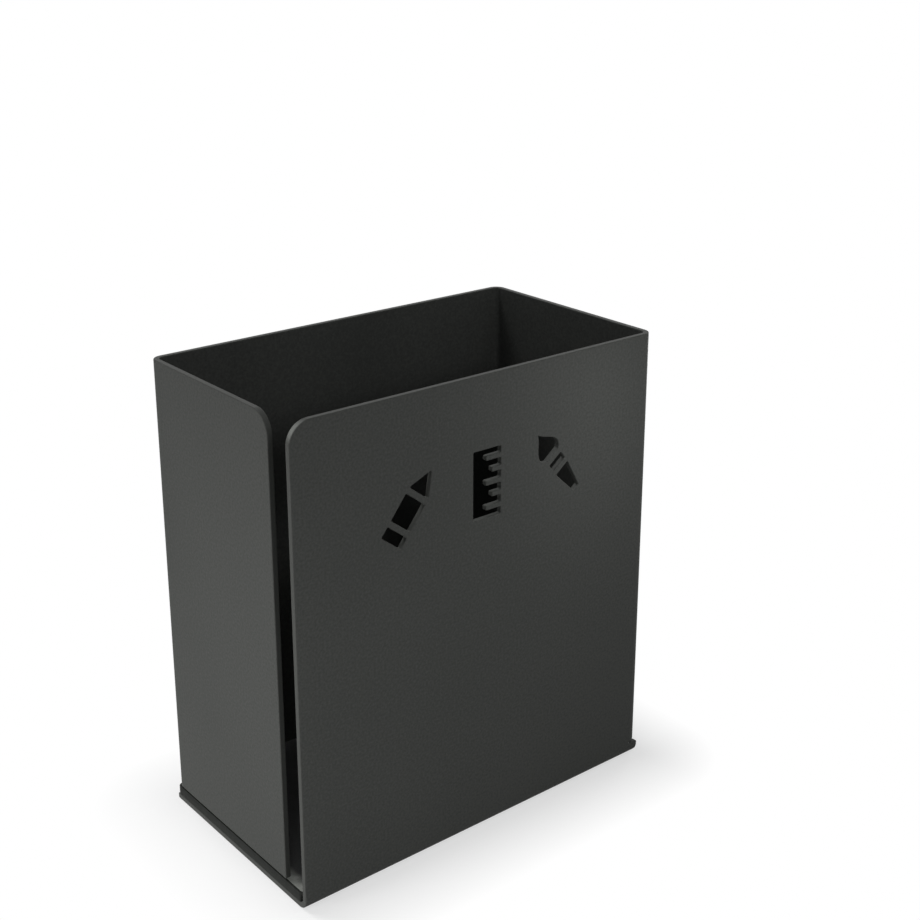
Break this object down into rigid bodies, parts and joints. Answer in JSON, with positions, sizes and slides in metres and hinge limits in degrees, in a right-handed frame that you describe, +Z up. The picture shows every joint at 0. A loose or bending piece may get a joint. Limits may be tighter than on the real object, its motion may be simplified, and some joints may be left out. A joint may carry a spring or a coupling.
{
  "type": "pen stand",
  "caption": "Upright rectangular pen stand folded from one coated steel sheet, with an open seam at a front corner, stencil cut pictures and a dark rubber floor mat.",
  "frame": {"origin": "middle of the footprint, at table height", "axes": "+Z up; +X to the right along the front panel, seen from the front; +Y from the front panel to the back wall; the open seam is at -X on the front side"},
  "size_m": [0.09, 0.05, 0.1],
  "materials": {
    "coated_steel": "fine matt powder coat, warm graphite grey",
    "mat_rubber": "dark dense rubber sheet with a faint satin surface"
  },
  "bodies": {
    "root": {"folded_body": "coated_steel", "floor_mat": "mat_rubber"}
  },
  "joints": []
}
